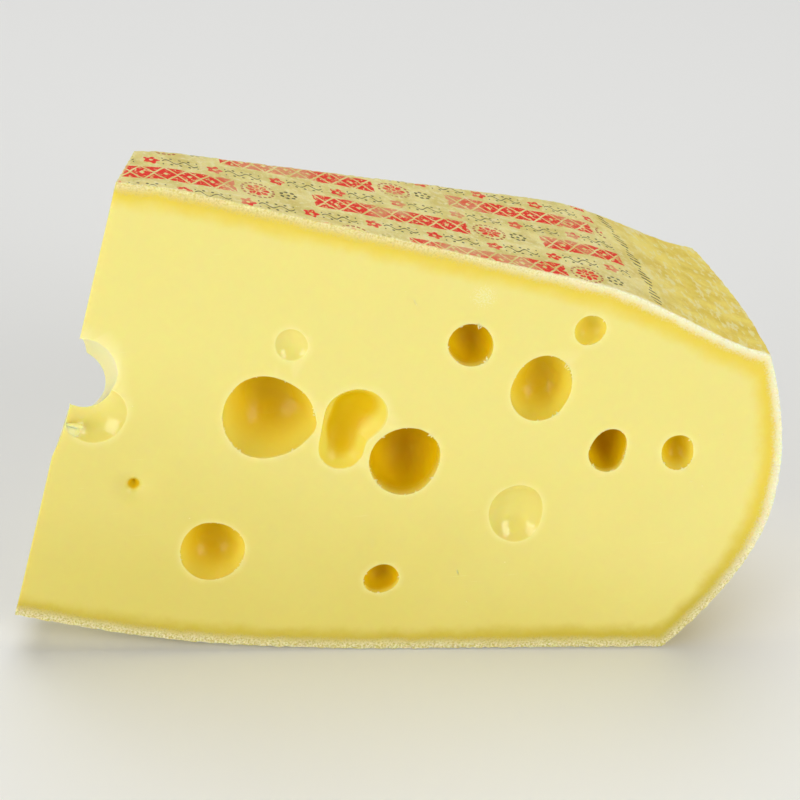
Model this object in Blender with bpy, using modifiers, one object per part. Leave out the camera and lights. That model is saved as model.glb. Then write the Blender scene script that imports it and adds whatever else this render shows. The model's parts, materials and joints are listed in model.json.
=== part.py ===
"""Wedge of a large-holed hard cheese, cut from a wheel 860 mm across.

The wedge is a fifteen-degree slice with its thin end trimmed off. Its top and
bottom are the domed rinds of the wheel, its heel is the bulged rim, and its
other three faces are knife cuts that open round eyes in the paste. The slice
is worked out in the wheel's own frame, with X out along the front cut and Z
up the wheel's axis, and is then laid down as it rests: the bottom rind is
domed, so it settles with its heavy heel low, on a small flattened spot.
Lengths are in metres, angles in degrees.
"""
import math

import bmesh
import bpy
from mathutils import Matrix, Vector

NAME = "cheese_wedge"

# The wheel
WHEEL_RADIUS = 0.430
RIM_RADIUS = 0.4045
INNER_RADIUS = 0.100
TOP_HEIGHT = 0.0960
TOP_SLOPE = 0.0085
TOP_SHOULDER = 0.322
TOP_SHOULDER_WIDTH = 0.086
TOP_SHOULDER_DROP = 0.0145
TIP_DROOP = 0.0024
TIP_DROOP_START = 0.146
TIP_DROOP_WIDTH = 0.026
BOTTOM_DEPTH = 0.1140
BOTTOM_SHOULDER = 0.150
BOTTOM_SHOULDER_WIDTH = 0.370
BOTTOM_SHOULDER_RISE = 0.0564
SIDE_MIDDLE = 0.0045
SIDE_FULLNESS = 1.85

# The cuts
WEDGE_ANGLE = 15.0
TIP_RADIUS = 0.1212
TIP_TURN = 11.0

# How it lies: the heel low, on a spot flattened by the wedge's own weight
HEEL_DROP = 12.4
HEEL_DROP_SIDE = 7.5
FLAT_SPOT_DEPTH = 0.00025

# Faceting
TOP_STEPS = 14
SIDE_STEPS = 12
BOTTOM_STEPS = 16
ARC_START = -2.0
ARC_SWEEP = 19.0
ARC_STEPS = 8

# Eyes on a cut face, in millimetres: name, distance from the wheel's axis,
# height, radius, stretch, direction of the stretch in degrees, depth
FRONT_EYES = (
    ("pointed_bowl", 204.8, 3.8, 19.4, 1.02, 123, 18.5),
    ("double_upper", 242.2, 14.4, 11.3, 1.05, 110, 6.5),
    ("double_lower", 239.0, -2.4, 10.0, 1.06, 110, 5.5),
    ("deep_middle", 266.6, -3.7, 16.0, 1.05, 81, 23.0),
    ("deep_upper", 279.1, 55.3, 10.0, 1.04, 127, 16.0),
    ("tall_bowl", 313.8, 42.5, 14.3, 1.13, 90, 16.5),
    ("upper_heel", 326.3, 73.3, 6.9, 1.09, 101, 5.8),
    ("deep_heel", 350.1, 20.0, 9.8, 1.13, 91, 21.0),
    ("small_heel", 380.2, 25.6, 8.2, 1.11, 111, 10.5),
    ("saucer_heel", 320.5, -18.0, 13.1, 1.10, 98, 5.2),
    ("low_bowl", 197.0, -64.4, 14.3, 1.04, 84, 14.0),
    ("low_middle", 272.1, -62.6, 7.9, 1.07, 57, 12.5),
    ("saucer_upper", 206.6, 38.9, 7.5, 1.02, 126, 3.0),
    ("pin_hole", 157.0, -39.2, 2.4, 1.10, 100, 7.0),
    ("edge_lower", 136.8, -12.4, 11.8, 1.05, 100, 7.5),
)
BACK_EYES = (
    ("back_tip", 166.0, 44.0, 8.5, 1.05, 30, 6.5),
    ("back_tip_low", 178.0, -52.0, 6.5, 1.08, 120, 6.0),
    ("back_bowl", 232.0, 46.0, 17.0, 1.04, 70, 15.0),
    ("back_small", 268.0, 70.0, 6.5, 1.10, 100, 7.5),
    ("back_deep", 286.0, 12.0, 13.5, 1.09, 85, 17.0),
    ("back_saucer", 238.0, -38.0, 14.0, 1.06, 60, 6.0),
    ("back_low", 300.0, -58.0, 9.0, 1.05, 40, 10.0),
    ("back_twin", 246.0, -5.0, 8.0, 1.12, 95, 9.0),
    ("back_heel", 342.0, 44.0, 11.0, 1.10, 92, 14.0),
    ("back_heel_small", 368.0, -6.0, 7.0, 1.08, 105, 8.0),
    ("back_heel_low", 338.0, -30.0, 12.0, 1.05, 80, 7.0),
)
# On the trimmed tip: name, distance across from the front cut, height, ...
TIP_EYES = (
    ("tip_upper", 19.0, 58.0, 6.0, 1.08, 80, 5.0),
    ("tip_lower", 15.0, -72.0, 7.5, 1.04, 60, 4.5),
)
# The long eye that notches the tip. It runs right through from the front cut
# to the back cut, dipping as it goes: its centre in the wheel's frame and its
# half sizes across, up and along, in millimetres
NOTCH_CENTRE = (127.1, 17.5, -2.0)
NOTCH_HALF_SIZE = (15.2, 13.6, 36.0)
NOTCH_DIP = 31.0

EYE_SEGMENTS = 20
EYE_RINGS = 12
SMALL_EYE_SEGMENTS = 14
SMALL_EYE_RINGS = 8
SMALL_EYE_RADIUS = 9.0

PASTE_COLOUR = (0.855, 0.775, 0.235, 1.0)


def smooth_step(value):
    """Ease from 0 to 1."""
    value = min(max(value, 0.0), 1.0)
    return value * value * (3.0 - 2.0 * value)


def top_height(radius):
    """Height of the top rind over the wheel's middle plane."""
    height = TOP_HEIGHT - TOP_SLOPE * (radius - INNER_RADIUS)
    height -= TOP_SHOULDER_DROP * smooth_step((radius - TOP_SHOULDER) / TOP_SHOULDER_WIDTH)
    height -= TIP_DROOP * smooth_step((TIP_DROOP_START - radius) / TIP_DROOP_WIDTH)
    return height


def bottom_height(radius):
    """Height of the bottom rind, below the wheel's middle plane."""
    rise = smooth_step((radius - BOTTOM_SHOULDER) / BOTTOM_SHOULDER_WIDTH)
    return BOTTOM_SHOULDER_RISE * rise - BOTTOM_DEPTH


def wheel_profile():
    """Half section of the wheel, from the inner top down its outer side."""
    points = []
    reach = RIM_RADIUS - INNER_RADIUS
    for step in range(TOP_STEPS):
        radius = INNER_RADIUS + reach * step / TOP_STEPS
        points.append((radius, top_height(radius)))
    upper = top_height(RIM_RADIUS)
    lower = bottom_height(RIM_RADIUS)
    for step in range(SIDE_STEPS + 1):
        share = 1.0 - 2.0 * step / SIDE_STEPS
        end = upper if share > 0.0 else lower
        height = SIDE_MIDDLE + abs(share) * (end - SIDE_MIDDLE)
        bulge = (WHEEL_RADIUS - RIM_RADIUS) * (1.0 - abs(share) ** SIDE_FULLNESS)
        points.append((RIM_RADIUS + bulge, height))
    for step in range(1, BOTTOM_STEPS + 1):
        radius = RIM_RADIUS - reach * step / BOTTOM_STEPS
        points.append((radius, bottom_height(radius)))
    return points


def new_object(name, mesh, collection):
    """Put a mesh in the scene as an object of the given collection."""
    piece = bpy.data.objects.new(name, mesh)
    collection.objects.link(piece)
    return piece


def turned_sector(collection):
    """Turn the half section through a little more than the wedge's angle."""
    mesh = bpy.data.meshes.new(NAME)
    points = wheel_profile()
    first = Matrix.Rotation(math.radians(ARC_START), 4, "Z")
    verts = [first @ Vector((radius, 0.0, height)) for radius, height in points]
    edges = [(i, (i + 1) % len(points)) for i in range(len(points))]
    mesh.from_pydata(verts, edges, [])
    piece = new_object(NAME, mesh, collection)
    screw = piece.modifiers.new("turn", "SCREW")
    screw.angle = math.radians(ARC_SWEEP)
    screw.steps = ARC_STEPS
    screw.render_steps = ARC_STEPS
    screw.use_smooth_shade = False
    screw.merge_threshold = 0.0001
    return piece


def rest_matrix():
    """Turn from the wheel's frame to how the wedge lies."""
    side = math.radians(HEEL_DROP_SIDE)
    across = Vector((-math.sin(side), math.cos(side), 0.0))
    return Matrix.Rotation(math.radians(HEEL_DROP), 4, across)


def face_frames():
    """Frames of the cut faces: X along the face, Y up the wheel, Z into the paste."""
    wedge = math.radians(WEDGE_ANGLE)
    turn = math.radians(TIP_TURN)
    up = Vector((0.0, 0.0, 1.0))
    front = (Vector((0.0, 0.0, 0.0)), Vector((1.0, 0.0, 0.0)), Vector((0.0, 1.0, 0.0)))
    back = (Vector((0.0, 0.0, 0.0)), Vector((math.cos(wedge), math.sin(wedge), 0.0)),
            Vector((math.sin(wedge), -math.cos(wedge), 0.0)))
    tip = (Vector((TIP_RADIUS, 0.0, 0.0)), Vector((math.sin(turn), math.cos(turn), 0.0)),
           Vector((math.cos(turn), -math.sin(turn), 0.0)))
    frames = {}
    for name, (place, along, inward) in (("front", front), ("back", back), ("tip", tip)):
        frame = Matrix((along, up, inward)).transposed().to_4x4()
        frame.translation = place
        frames[name] = frame
    return frames


def cut_flat(mesh, point, outward):
    """Cut away what lies past a plane and close the cut with one face."""
    work = bmesh.new()
    work.from_mesh(mesh)
    geometry = work.verts[:] + work.edges[:] + work.faces[:]
    cut = bmesh.ops.bisect_plane(work, geom=geometry, dist=1e-7, plane_co=point,
                                 plane_no=outward, clear_outer=True)
    rim = [item for item in cut["geom_cut"] if isinstance(item, bmesh.types.BMEdge)]
    bmesh.ops.contextual_create(work, geom=rim)
    bmesh.ops.recalc_face_normals(work, faces=work.faces[:])
    work.to_mesh(mesh)
    work.free()


def lowest_point(mesh):
    """Height of the lowest vertex."""
    return min(vert.co.z for vert in mesh.vertices)


def settle(mesh, rest):
    """Lay the wedge down on its flattened spot; return the turn and the shift."""
    mesh.transform(rest)
    level = lowest_point(mesh) + FLAT_SPOT_DEPTH
    cut_flat(mesh, Vector((0.0, 0.0, level)), Vector((0.0, 0.0, -1.0)))
    xs = [vert.co.x for vert in mesh.vertices]
    ys = [vert.co.y for vert in mesh.vertices]
    centre = Vector(((min(xs) + max(xs)) / 2.0, (min(ys) + max(ys)) / 2.0, level))
    shift = Matrix.Translation(-centre)
    mesh.transform(shift)
    return shift @ rest


def add_cutter(name, place, collection, segments, rings):
    """A unit sphere under a placing matrix, as a hidden cutter."""
    bpy.ops.mesh.primitive_uv_sphere_add(segments=segments, ring_count=rings, radius=1.0)
    cutter = bpy.context.object
    cutter.name = name
    cutter.data.name = name
    for owner in list(cutter.users_collection):
        owner.objects.unlink(cutter)
    collection.objects.link(cutter)
    cutter.data.transform(place)
    if place.determinant() < 0.0:
        cutter.data.flip_normals()
    cutter.hide_render = True
    cutter.display_type = "WIRE"
    return cutter


def eye_matrix(frame, along, up, radius, stretch, turn, depth):
    """Place a sphere so that it opens the face in a mouth of the given radius."""
    ball = (radius * radius + depth * depth) / (2.0 * depth)
    mouth = Matrix.Translation(Vector((along, up, depth - ball)) * 0.001)
    spin = Matrix.Rotation(math.radians(turn), 4, "Z")
    size = Matrix.Diagonal(Vector((ball * stretch, ball / stretch, ball, 1000.0)) * 0.001)
    return frame @ mouth @ spin @ size


def notch_matrix():
    """Place the long eye that runs through the tip."""
    size = Matrix.Diagonal(Vector(NOTCH_HALF_SIZE + (1000.0,)) * 0.001)
    dip = Matrix.Rotation(-math.radians(90.0 + NOTCH_DIP), 4, "X")
    return Matrix.Translation(Vector(NOTCH_CENTRE) * 0.001) @ dip @ size


def cut_eyes(piece, placing, collection):
    """Open the eyes of the three cut faces with one Boolean cut."""
    frames = face_frames()
    for face, eyes in (("front", FRONT_EYES), ("back", BACK_EYES), ("tip", TIP_EYES)):
        for name, along, up, radius, stretch, turn, depth in eyes:
            small = radius < SMALL_EYE_RADIUS
            segments = SMALL_EYE_SEGMENTS if small else EYE_SEGMENTS
            rings = SMALL_EYE_RINGS if small else EYE_RINGS
            place = eye_matrix(frames[face], along, up, radius, stretch, turn, depth)
            add_cutter(name, placing @ place, collection, segments, rings)
    add_cutter("notch", placing @ notch_matrix(), collection, EYE_SEGMENTS, EYE_RINGS)
    boolean = piece.modifiers.new("eyes", "BOOLEAN")
    boolean.operation = "DIFFERENCE"
    boolean.solver = "EXACT"
    boolean.operand_type = "COLLECTION"
    boolean.collection = collection


def paste_material():
    """Pale yellow paste, slightly waxy."""
    material = bpy.data.materials.new(NAME)
    material.use_nodes = True
    shader = material.node_tree.nodes["Principled BSDF"]
    shader.inputs["Base Color"].default_value = PASTE_COLOUR
    shader.inputs["Roughness"].default_value = 0.5
    shader.inputs["Metallic"].default_value = 0.0
    return material


def build():
    """Make the wedge."""
    for old in list(bpy.data.objects):
        bpy.data.objects.remove(old)
    parts = bpy.data.collections.new(NAME)
    cutters = bpy.data.collections.new("cutters")
    bpy.context.scene.collection.children.link(parts)
    bpy.context.scene.collection.children.link(cutters)
    piece = turned_sector(parts)
    bpy.context.view_layer.update()
    turned = piece.evaluated_get(bpy.context.evaluated_depsgraph_get())
    solid = bpy.data.meshes.new_from_object(turned)
    piece.modifiers.clear()
    piece.data = solid
    frames = face_frames()
    for face in ("front", "back", "tip"):
        frame = frames[face]
        cut_flat(solid, frame.translation, -(frame.to_3x3() @ Vector((0.0, 0.0, 1.0))))
    placing = settle(solid, rest_matrix())
    cut_eyes(piece, placing, cutters)
    piece.data.materials.clear()
    piece.data.materials.append(paste_material())
    return piece


build()
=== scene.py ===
"""Looks of a wedge of large-holed hard cheese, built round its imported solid.

The wedge is turned, cut and hollowed here as it is in the solid, at a finer grain: the eyes are
smooth bowls with slightly ragged mouths, and the rind is rough, both its skin and its cut edge.
It is shaped in the wheel's own frame, X out along the front cut and Z up the wheel's axis, and is
then laid down as the solid lies. Lengths are in metres unless a name or comment says millimetres.
"""
import json
import math
import random

import bpy
import numpy as np
from mathutils import Matrix, Vector, noise

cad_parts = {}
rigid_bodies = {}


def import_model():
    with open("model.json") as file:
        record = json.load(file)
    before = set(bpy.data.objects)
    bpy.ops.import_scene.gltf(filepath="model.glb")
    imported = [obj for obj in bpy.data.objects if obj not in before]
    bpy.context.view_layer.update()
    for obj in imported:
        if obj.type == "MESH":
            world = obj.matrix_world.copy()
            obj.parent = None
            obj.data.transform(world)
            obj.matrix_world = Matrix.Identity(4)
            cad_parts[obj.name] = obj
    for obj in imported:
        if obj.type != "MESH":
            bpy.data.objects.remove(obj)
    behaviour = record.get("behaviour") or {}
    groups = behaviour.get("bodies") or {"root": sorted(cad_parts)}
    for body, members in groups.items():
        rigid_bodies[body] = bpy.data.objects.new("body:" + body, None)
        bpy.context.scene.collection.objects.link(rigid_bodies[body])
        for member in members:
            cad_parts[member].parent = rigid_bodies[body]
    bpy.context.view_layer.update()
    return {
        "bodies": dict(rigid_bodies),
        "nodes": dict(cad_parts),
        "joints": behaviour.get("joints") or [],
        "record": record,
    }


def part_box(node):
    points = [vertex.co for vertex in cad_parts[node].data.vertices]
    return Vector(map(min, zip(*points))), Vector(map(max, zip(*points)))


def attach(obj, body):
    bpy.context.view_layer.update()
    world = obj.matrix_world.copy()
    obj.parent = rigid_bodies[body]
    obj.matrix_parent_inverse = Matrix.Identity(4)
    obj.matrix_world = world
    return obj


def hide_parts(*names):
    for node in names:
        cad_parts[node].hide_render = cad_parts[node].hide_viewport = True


MM = 0.001

# The wheel
WHEEL_RADIUS = 0.430
RIM_RADIUS = 0.4045
INNER_RADIUS = 0.100
TOP_HEIGHT = 0.0960
TOP_SLOPE = 0.0085
TOP_SHOULDER = 0.322
TOP_SHOULDER_WIDTH = 0.086
TOP_SHOULDER_DROP = 0.0145
TIP_DROOP = 0.0024
TIP_DROOP_START = 0.146
TIP_DROOP_WIDTH = 0.026
BOTTOM_DEPTH = 0.1140
BOTTOM_SHOULDER = 0.150
BOTTOM_SHOULDER_WIDTH = 0.370
BOTTOM_SHOULDER_RISE = 0.0564
SIDE_MIDDLE = 0.0045
SIDE_FULLNESS = 1.85
# What turns a distance measured straight down, up or in from the rind into one square to it
TOP_LEAN = 0.985
BOTTOM_LEAN = 0.98
SIDE_LEAN = 0.95

# The cuts
WEDGE_ANGLE = math.radians(15.0)
TIP_RADIUS = 0.1212
TIP_TURN = math.radians(11.0)

# How it lies: the heel low, with the wheel's middle here in the part's frame
HEEL_DROP = math.radians(12.4)
HEEL_DROP_SIDE = math.radians(7.5)
WHEEL_MIDDLE = Vector((-0.258626, -0.053250, 0.155674))

# Grain of the turned blank and of the fine skin
TOP_STEPS = 44
SIDE_STEPS = 36
BOTTOM_STEPS = 48
ARC_START = math.radians(-2.0)
ARC_SWEEP = math.radians(19.0)
ARC_STEPS = 36
SKIN_GRAIN = 0.00105
SKIN_TRIANGLES = 125000
WEDGE_SMOOTH_ANGLE = math.radians(37.0)
CRUMB_SMOOTH_ANGLE = math.radians(50.0)

# The skin's ripples are laid flat this near a cut, where the skin faces out as much as this; the pin
# hole presses in what lies this near the front cut
FLAT_NEAR = 0.0004
FLAT_FACING = 0.97
PRESS_NEAR = 0.0006
# Widths of broad, middling and fine bumps, the height of the broad ones everywhere, the heights of
# the others on the skin and in the crust, and how much rougher skin and crust are on the underside
BUMP_WIDTHS = (0.034, 0.0065, 0.0021)
BROAD_HEIGHT = 0.00022
SKIN_HEIGHTS = (0.00030, 0.00016)
CRUST_HEIGHTS = (0.00020, 0.00022)
SKIN_ROUGHER = 0.8
CRUST_ROUGHER = 0.6
UNDERSIDE_START = (0.02, 0.04)
# Where the rough skin gives way under the rind and to a cut, and where the crust ends: depth and width
# of each step. The skin's colour has steps of its own
ROUGH_SKIN_END = (0.0003, 0.0006)
ROUGH_SKIN_EDGE = (0.0004, 0.0012)
ROUGH_CRUST_END = (0.0035, 0.0025)
SKIN_COLOUR_END = (0.0008, 0.0010)
SKIN_COLOUR_EDGE = (0.0003, 0.0008)

# Eyes on a cut face, in millimetres and degrees: distance from the wheel's axis, height, mouth
# radius, how oval the mouth is and which way, how egg-shaped it is and which way, depth
FRONT_EYES = (
    (204.8, 3.7, 19.3, 0.2, 139, 0.5, 12, 20.5),
    (266.6, -3.7, 15.7, 0.7, 84, 0.3, 50, 22.0),
    (279.1, 55.4, 9.7, 0.3, 134, 0.1, 72, 14.0),
    (313.8, 42.5, 14.1, 1.5, 87, 0.1, 80, 14.5),
    (325.9, 73.1, 6.8, 0.3, 67, 0.1, 23, 5.8),
    (350.5, 20.1, 9.2, 1.3, 92, 0.3, 76, 17.5),
    (380.3, 25.7, 7.8, 0.8, 107, 0.1, 69, 8.6),
    (197.1, -64.5, 14.2, 0.3, 78, 0.2, 16, 15.0),
    (272.0, -62.5, 7.5, 0.5, 45, 0.1, 105, 10.5),
    (320.5, -18.0, 12.9, 1.2, 98, 0.3, 60, 5.8),
    (206.4, 39.0, 7.2, 0.3, 126, 0.1, 0, 2.7),
    (134.9, -10.2, 13.3, 0.4, 75, 0.2, 30, 6.2),
)
BACK_EYES = (
    (166.0, 44.0, 8.5, 0.4, 30, 0.1, 0, 6.5),
    (178.0, -52.0, 6.5, 0.5, 120, 0.1, 40, 6.0),
    (232.0, 46.0, 17.0, 0.7, 70, 0.4, 10, 15.0),
    (268.0, 70.0, 6.5, 0.6, 100, 0.2, 90, 7.5),
    (286.0, 12.0, 13.5, 1.2, 85, 0.3, 30, 17.0),
    (238.0, -38.0, 14.0, 0.8, 60, 0.2, 50, 6.0),
    (300.0, -58.0, 9.0, 0.4, 40, 0.2, 80, 10.0),
    (246.0, -5.0, 8.0, 0.9, 95, 0.2, 20, 9.0),
    (342.0, 44.0, 11.0, 1.1, 92, 0.3, 70, 14.0),
    (368.0, -6.0, 7.0, 0.5, 105, 0.2, 15, 8.0),
    (338.0, -30.0, 12.0, 0.6, 80, 0.3, 100, 7.0),
)
# On the trimmed tip the first number is the distance across from the front cut
TIP_EYES = (
    (19.0, 58.0, 6.0, 0.4, 80, 0.1, 0, 5.0),
    (15.0, -72.0, 7.5, 0.3, 60, 0.1, 0, 4.5),
    (-1.0, -15.0, 19.0, 0.0, 0, 0.0, 0, 2.4),
)
CUT_EYES = (("front", FRONT_EYES), ("back", BACK_EYES), ("tip", TIP_EYES))
# The largest eye's mouth runs out to a point: its direction in degrees, how far in millimetres, and its
# half width in degrees. The eye climbs by a share of its depth
LARGE_EYE = FRONT_EYES[0]
LARGE_EYE_POINT = (0.0, 1.5, 16.0)
LARGE_EYE_CLIMB = 0.17
# An eye shallower than this share of its mouth's radius is a round dish, and a deeper one is half an
# oval ball, with its middle so many millimetres outside the cut
DISH_LIMIT = 0.5
BALL_PROUD = 0.3
# Unevenness of an eye's wall: how fine, and how much of the radius
BALL_SWELLS = ((1.4, 0.018), (7.0, 0.006))
# How golden an eye's wall is, by how many radii of its mouth the eye is deep: its yellow, its gold near
# the mouth, which sets in over some millimetres, and its gold for each radius further in. The yellow and
# gold are partly the lining's own colour and partly painted shade, darker further into the eye
WALL_DEPTHS = (0.2, 0.3, 0.5, 0.9, 1.1, 1.4)
WALL_YELLOWS = (0.0, 0.22, 0.24, 1.0, 1.0, 1.0)
MOUTH_GOLDS = (0.0, 0.0, 0.0, 0.0, 0.05, 0.35)
DEPTH_GOLDS = (0.0, 0.1, 0.15, 0.60, 0.68, 0.90)
MOUTH_GOLD_DEPTH = 5.0
# A place belongs to an eye's wall within this many radii of its middle, and between these depths, the
# second one beyond the eye's own, in millimetres; to the kidney-shaped eye's wall it is this near
WALL_REACH = 1.06
WALL_START = 0.4
WALL_END = 1.5
FUSED_NEAR = 0.8
# How golden the kidney-shaped eye is at some depths, in millimetres, the gold being partly painted shade.
# From a height up, its shaded top wall counts as deeper and gets more painted shade, and from a distance
# inwards, its lit wall counts as less deep and is painted lighter: the height or distance in millimetres,
# and how much for each millimetre
FUSED_DEPTHS = (0.0, 3.0, 6.8)
FUSED_GOLDS = (0.0, 0.20, 1.0)
FUSED_SHADED_TOP = (12.0, 0.24)
FUSED_LIT = (234.0, 0.55)
# The long eye that notches the tip and runs right through, in millimetres
NOTCH_CENTRE = (124.6, 16.7, -2.9)
NOTCH_HALF_SIZE = (16.6, 13.6, 50.0)
NOTCH_DIP = math.radians(36.0)
# The kidney-shaped eye on the front cut, left by bubbles that ran together, in millimetres: distance
# from the wheel's axis, height, depth of the middle and radius of each bubble, how softly they run
# together, a place inside them all, and how far out from it and in how many halvings the wall is found
FUSED_BUBBLES = (
    (237.4, 12.5, -1.5, 8.6),
    (242.5, 14.0, -12.0, 16.6),
    (236.2, 4.1, 1.0, 6.7),
    (238.7, -4.4, -5.8, 11.0),
)
FUSED_SOFTNESS = 2.2
FUSED_MIDDLE = (238.2, 5.0, 0.0)
FUSED_REACH = 60.0
FUSED_HALVINGS = 30
# The pin hole in its wide soft hollow on the front cut, in millimetres: place, depth and spread of
# the hole, depth and spread of the hollow. Painted shade makes it golden out to this many spreads,
# easing over so many, down to a depth
PIN_PLACE = (157.5, -40.7)
PIN_SIZE = (3.4, 2.0)
HOLLOW_SIZE = (3.0, 6.8)
PIN_SHADE_REACH = 2.1
PIN_SHADE_EASE = 1.8
PIN_SHADE_DEPTH = 8.0
# The painted glow at the rim of a mouth: how near its cut a place is on it, and a distance far off every
# mouth, in millimetres. For the notch: millimetres that its radius stands for, how near its ball its wall
# lies, in radii, and how strongly the wall gets the painted glow, as so many millimetres less than
# nothing from a mouth
ON_CUT = 0.6
FAR_OFF = 99.0
NOTCH_RADIUS = 7.0
NOTCH_NEAR = 0.025
NOTCH_PAINTED_GLOW = -2.4
EYE_SEGMENTS = 60
EYE_RINGS = 36
FUSED_SEGMENTS = 96
FUSED_RINGS = 60

# Slivers torn up where the knife met a mouth: number of the front eye, direction round it in
# degrees, half length, half width and swing off the mouth's middle, in millimetres and degrees
TORN_SLIVERS = (
    (0, 247.0, 0.9, 0.35, 30.0), (0, 241.0, 0.7, 0.3, -20.0), (0, 232.0, 0.8, 0.3, 50.0),
    (0, 318.0, 0.9, 0.35, -40.0), (0, 80.0, 0.6, 0.25, 20.0),
    (1, 142.0, 1.0, 0.4, 40.0), (1, 64.0, 1.1, 0.45, -30.0), (1, 60.0, 0.8, 0.35, 20.0),
    (1, 338.0, 1.0, 0.45, 35.0), (1, 230.0, 1.0, 0.4, -35.0), (1, 244.0, 0.7, 0.3, 20.0),
    (2, 86.0, 1.7, 0.35, 25.0), (2, 79.0, 1.1, 0.3, -10.0), (2, 330.0, 1.3, 0.5, -35.0),
    (2, 322.0, 0.9, 0.4, 20.0),
    (3, 62.0, 1.4, 0.3, 15.0), (3, 57.0, 1.2, 0.3, -5.0), (3, 52.0, 0.9, 0.3, -20.0),
    (3, 316.0, 0.9, 0.35, 30.0), (3, 306.0, 0.7, 0.3, -25.0),
    (4, 52.0, 0.8, 0.3, 20.0), (5, 243.0, 0.9, 0.35, 30.0), (5, 300.0, 0.6, 0.25, -30.0),
    (6, 66.0, 0.8, 0.4, -25.0), (6, 303.0, 0.9, 0.4, 30.0), (7, 345.0, 0.6, 0.3, 20.0),
    (8, 20.0, 0.6, 0.3, 30.0),
)
# How many fine torn specks sit round a front eye's mouth: number of the eye, count. Their half lengths
# in millimetres, their width as a share of it, and the most that they swing, in degrees
RAGGED_RIMS = ((0, 14), (1, 14), (2, 10), (3, 12), (4, 6), (5, 9), (6, 7), (7, 16), (8, 7))
SPECK_LENGTHS = (0.25, 0.6)
SPECK_WIDTH = 0.7
SPECK_SWING = 60.0
# How uneven a sliver is and how much it tapers, as shares of its size
SLIVER_LUMPS = 0.45
SLIVER_TAPER = 0.55
# Loose crumbs: distance from the wheel's axis, height, direction in degrees, half length, half width
LOOSE_CRUMBS = (
    (303.4, -51.6, 125.0, 2.0, 0.35), (322.8, -42.8, 10.0, 0.5, 0.4), (251.0, 69.4, 130.0, 1.6, 0.25),
    (390.5, 13.5, 20.0, 0.45, 0.35), (396.0, 12.5, 80.0, 0.4, 0.3), (387.0, 36.0, 40.0, 0.35, 0.3),
    (396.5, 38.5, 10.0, 0.4, 0.35), (381.0, 0.0, 60.0, 0.3, 0.3), (312.0, -66.0, 0.0, 0.35, 0.3),
    (246.0, 73.0, 20.0, 0.3, 0.2), (184.0, -50.5, 10.0, 0.4, 0.35), (149.0, -3.0, 70.0, 0.4, 0.3),
)
# The torn flap at the tip, and the paste that it hangs from: distance from the wheel's axis, height,
# direction, half length, half width. Half their thickness, and how far in their middle lies
TIP_FLAPS = ((127.6, -17.6, 2.0, 3.7, 1.3), (127.0, -20.3, -26.0, 3.7, 2.6))
FLAP_THICKNESS = 0.9
FLAP_SINK = 0.8

# The print on the top rind, in millimetres; its rows run nearly along the middle of the wedge
INK_EDGE = 0.16
ROW_TURN = math.radians(6.5)
ROW_START = -9.0
ROW_PITCH = 27.0
ROW_SHIFT = 37.0
CELL_LENGTH = 101.0
SMALL_CELL_LENGTH = 26.5
BAND_LEVEL = 7.5
BAND_START = 2.0
BAND_LENGTH = 67.67
BAND_HEIGHT = 12.0
DIAMOND = 9.667
DIAMOND_SLANT = 0.80
ZIGZAG_LINE = (5.1, 0.55)
DIAMOND_GAP = 1.15
# Petals and leaves are their count, their size and the radius or half width that they wave about, and
# the rosette's hoop, slits and middle ring are a radius and a half width
ROSETTE_PLACE = 79.0
ROSETTE_HOOP = (6.7, 0.55)
ROSETTE_DASHES = 18.0
ROSETTE_DASH_SHARE = 0.45
ROSETTE_PETALS = (8.0, 0.55, 4.6)
ROSETTE_SLITS = (2.9, 1.2)
ROSETTE_SLIT_SHARE = -0.80
ROSETTE_MIDDLE = (1.25, 0.28)
WREATH_PLACE = 92.0
WREATH_RADIUS = 3.0
WREATH_LEAVES = (7.0, 0.42, 0.42)
WREATH_DOT = 0.8
BLOSSOM_PLACE = 4.5
BLOSSOM_PETALS = (5.0, 0.6, 3.0)
BLOSSOM_MIDDLE = 0.85
VINE_LEVEL = 20.5
VINE_START = 9.0
VINE_LENGTH = 15.0
VINE_WAVE = 7.5
VINE_RISE = -1.5
VINE_STEM = 0.40
BERRY_LEVEL = 2.6
BERRY_RADIUS = 0.62
ROWS_END = 342.0
PRINT_START = (50.0, 55.0)
STITCH_RADIUS = 351.0
STITCH_STEP = 3.7
STITCH_LEAN = 0.45
STITCH_WIDTH = 0.66
STITCH_REACH = (1.5, 5.0)
STITCH_HEIGHTS = (0.5, 2.3)

# Colours, as sRGB: the paste, the paste in painted shade, whitish paste for knife streaks, crumbs and
# the painted glow at rims, torn paste, the walls of the eyes, yellow and gold partly of their own and
# partly as painted shade, and the smear
PASTE_PALE = "eee38b"
PASTE_PAINTED_SHADE = "e0d26f"
PASTE_WHITISH_AND_PAINTED_GLOW = "faf2b4"
PASTE_TORN = "f0e284"
EYE_YELLOW_AND_PAINTED_SHADE = "f2df5c"
EYE_GOLD_AND_PAINTED_SHADE = "e1bb04"
SMEAR_WHITE = "fffce8"
# The yellow band under the rind high up and, darkened by painted shade, low down, and the dark and the
# pale grains of the crust on top, at the heel and low down, where painted shade darkens its dark grains
BAND_HIGH = "ecd54e"
BAND_LOW_PAINTED_SHADE = "d0bb3c"
CRUST_TOP = ("dfd07c", "f4ebb8")
CRUST_HEEL = ("f2eab8", "fffbe6")
CRUST_LOW_PAINTED_SHADE = ("c6b862", "f3ebc2")
# The skin's dark and pale patches on top and at the heel, its pale pores and its bloom
SKIN_TOP = ("dbca74", "f0e398")
SKIN_HEEL = ("e6c84a", "f8e270")
SKIN_PORES = "f6edb8"
SKIN_BLOOM = "f4e7a2"
# The red ink faded and fresh, the ink of the dashed rings, and the dark ink
INK_RED = ("e4725a", "ec2c1c")
INK_RING = "b8663e"
INK_DARK = "4c481e"
PAPER = "f0f0ee"

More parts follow.
